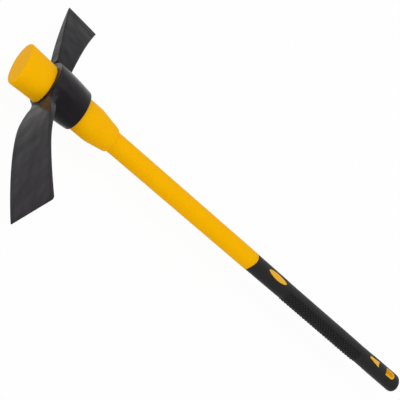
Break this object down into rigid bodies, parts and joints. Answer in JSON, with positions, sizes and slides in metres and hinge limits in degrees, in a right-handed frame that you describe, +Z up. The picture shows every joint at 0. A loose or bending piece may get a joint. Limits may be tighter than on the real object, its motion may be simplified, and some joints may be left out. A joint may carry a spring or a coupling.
{
  "type": "cutter mattock",
  "caption": "Digging tool with a forged steel head, an adze blade on one side and an axe blade on the other, slipped over a fibreglass handle with a flared end and a rubber grip.",
  "frame": {"origin": "middle of the tool's length and width, on the surface that it lies on", "axes": "+X along the handle from the crown to the butt, -Y along the adze, +Y along the cutter, +Z up, across the blades"},
  "size_m": [0.891, 0.4066, 0.0894],
  "materials": {
    "black_steel": "satin black paint on forged steel",
    "yellow_polypropylene": "moulded, softly glossy yellow",
    "fibreglass": "pultruded glass fibre in resin, dull",
    "black_rubber": "moulded matte rubber with a checkered palm side"
  },
  "bodies": {
    "handle": {"eye_swell": "yellow_polypropylene", "fibreglass_core": "fibreglass", "shaft_jacket": "yellow_polypropylene", "rubber_grip": "black_rubber"},
    "head": {"mattock_head": "black_steel"}
  },
  "joints": [
    {"name": "head_slide", "type": "slide", "parent": "handle", "child": "head", "axis": [1, 0, 0], "range_m": [0, 0.85]}
  ]
}
